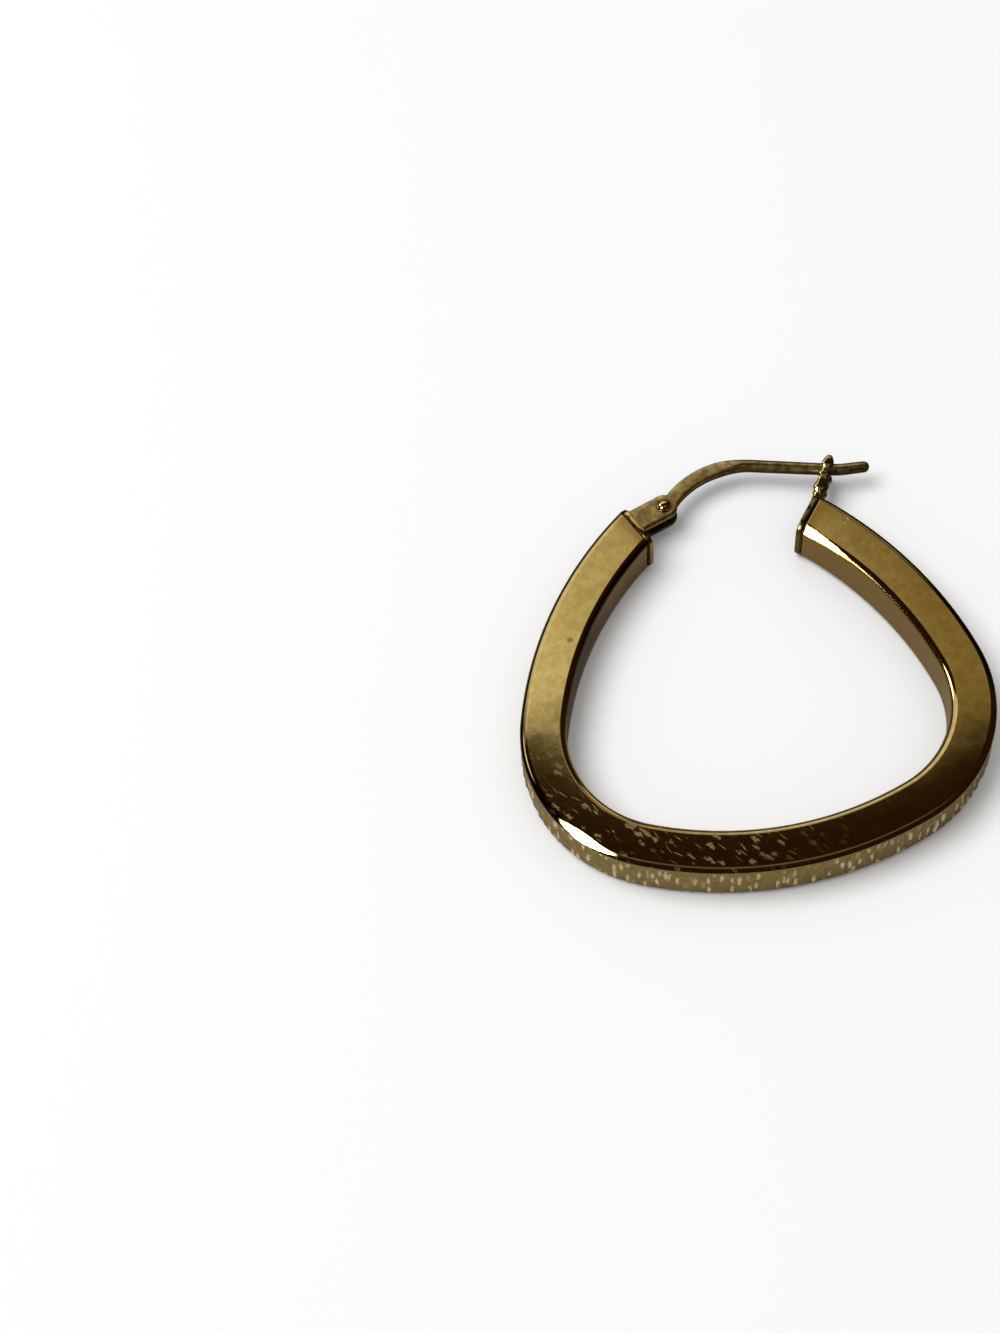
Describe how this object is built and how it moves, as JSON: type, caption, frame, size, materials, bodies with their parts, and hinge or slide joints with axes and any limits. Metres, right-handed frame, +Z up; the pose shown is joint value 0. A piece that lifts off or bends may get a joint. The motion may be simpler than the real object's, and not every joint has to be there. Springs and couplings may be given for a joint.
{
  "type": "hinged hoop earring",
  "caption": "Hinged hoop earring: a square tube bent to a soft D, with a riveted ear wire that closes into a V catch.",
  "frame": {"origin": "middle of the earring's footprint, on the surface that it lies on", "axes": "+Z up out of the hoop's plane, +Y from the hoop's lowest point as worn towards its ear wire, +X from the hinge side to the catch side"},
  "size_m": [0.0306, 0.0308, 0.0038],
  "materials": {
    "hoop_gold": "aged polished yellow gold, mottled and finely scratched on its flat sides",
    "rivet_gold": "polished yellow gold dome",
    "wire_gold": "drawn yellow gold, brownish and mottled with tarnish"
  },
  "bodies": {
    "hoop_body": {"hoop": "hoop_gold", "hinge_rivet": "rivet_gold"},
    "wire_body": {"ear_wire": "wire_gold"}
  },
  "joints": [
    {"name": "ear_wire_hinge", "type": "hinge", "parent": "hoop_body", "child": "wire_body", "pos_m": [-0.00285, 0.01235, 0.00189], "axis": [0, 0, 1], "range_deg": [0, 80]}
  ]
}
